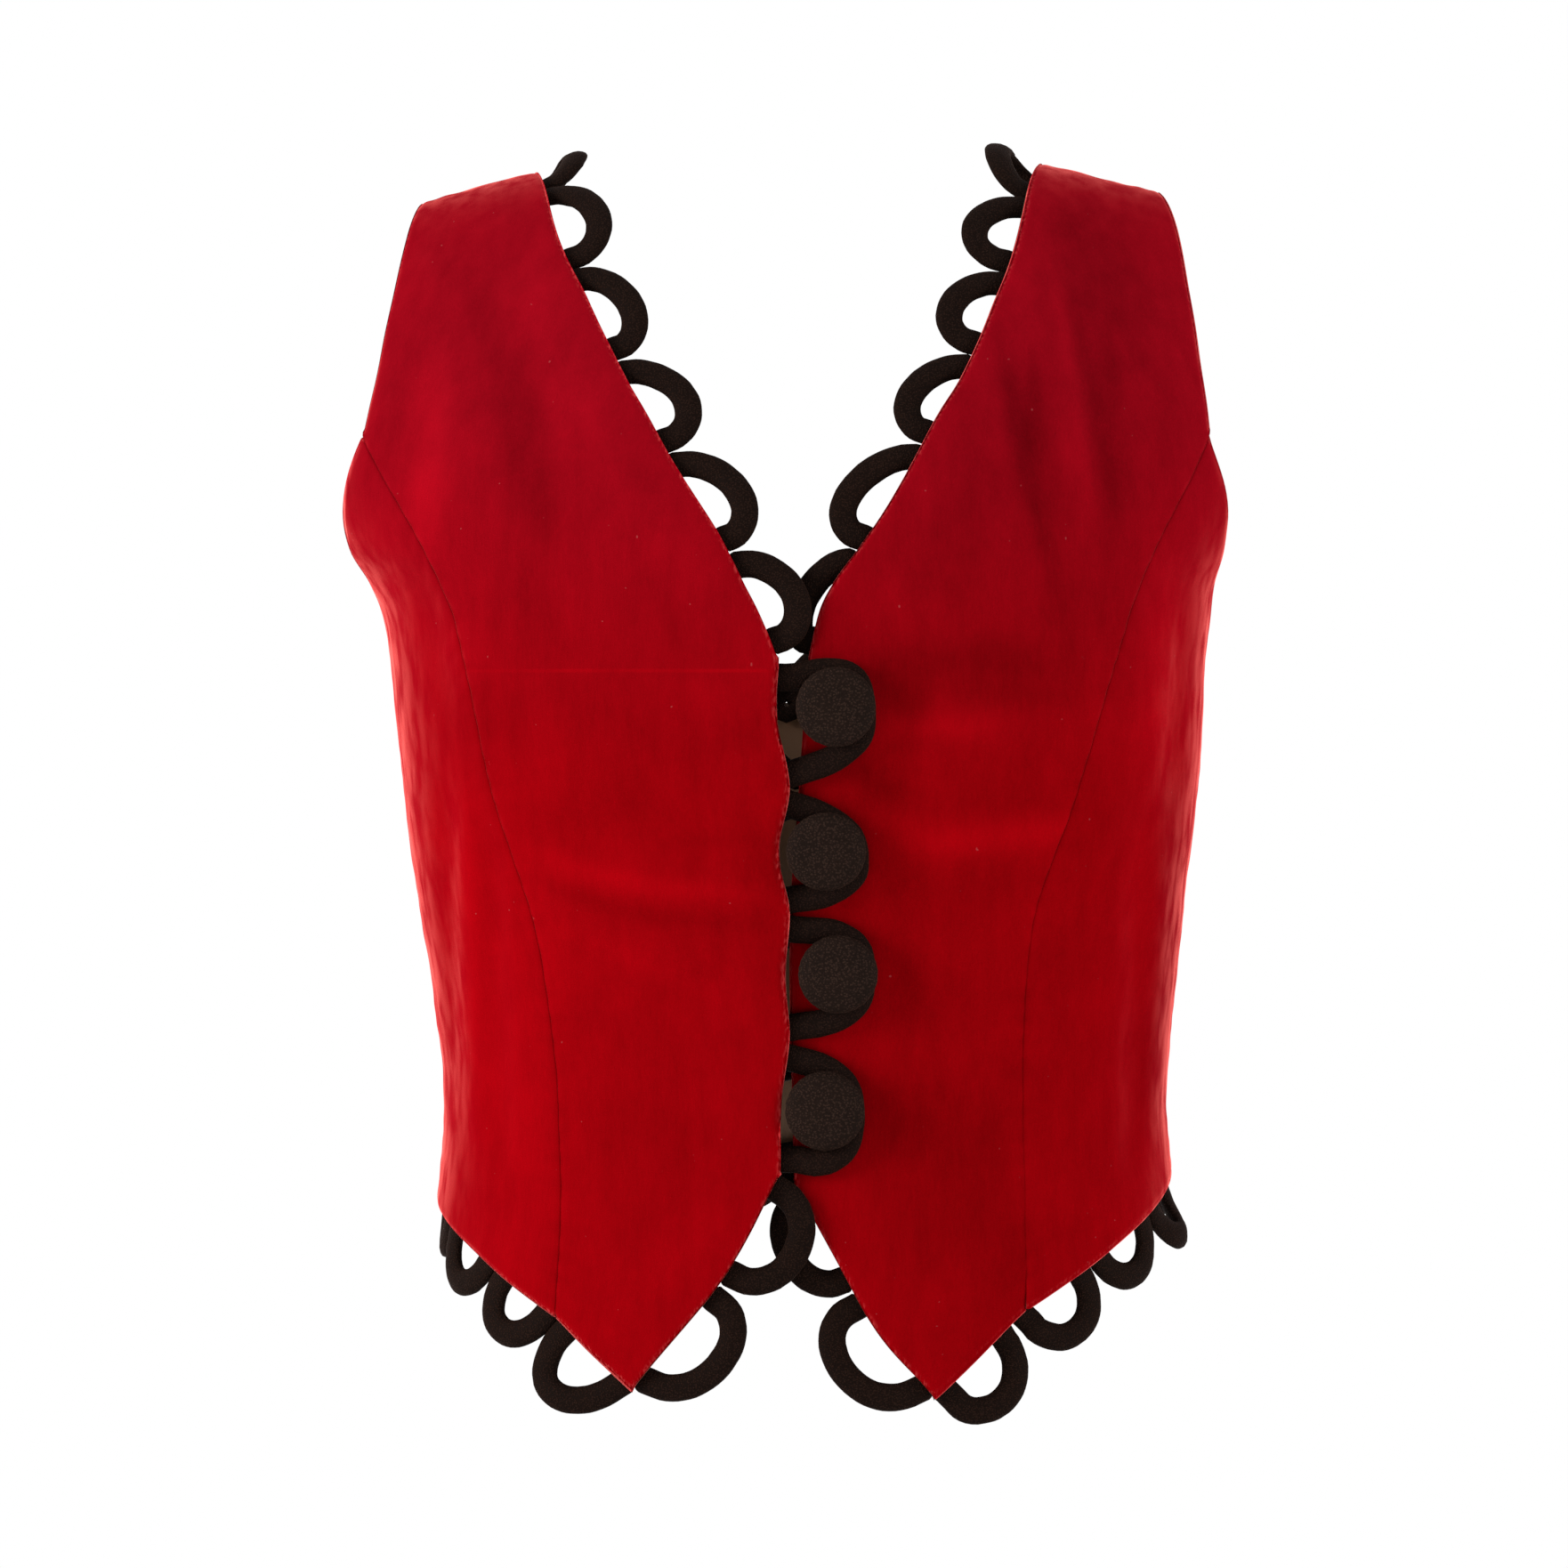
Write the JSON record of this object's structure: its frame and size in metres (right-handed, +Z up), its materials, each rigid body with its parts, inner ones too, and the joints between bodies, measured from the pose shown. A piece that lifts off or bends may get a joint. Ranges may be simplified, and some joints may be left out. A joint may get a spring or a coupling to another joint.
{
  "type": "velvet vest",
  "caption": "Fitted sleeveless velvet vest with a V neck, pointed front hems, padded loop trim and covered buttons on the front.",
  "frame": {"origin": "between the shoulders at neck height, level with the middle of the shoulder seams, where the wearer's shoulders carry the vest", "axes": "+Z up along the body, the front faces -Y, +X towards the wearer's left"},
  "size_m": [0.3457, 0.2224, 0.4986],
  "materials": {
    "velvet": "red cotton velvet with a short upright pile",
    "loop_trim": "matt black bias fabric over a cord core",
    "button_cloth": "matt black fine crepe over a button form"
  },
  "bodies": {
    "root": {"front_right": "velvet", "front_left": "velvet", "side_front_right": "velvet", "side_front_left": "velvet", "back": "velvet", "trim_front_right": "loop_trim", "trim_front_left": "loop_trim", "trim_back_neck": "loop_trim", "trim_back_hem": "loop_trim", "button_1": "button_cloth", "button_2": "button_cloth", "button_3": "button_cloth", "button_4": "button_cloth"}
  },
  "joints": []
}
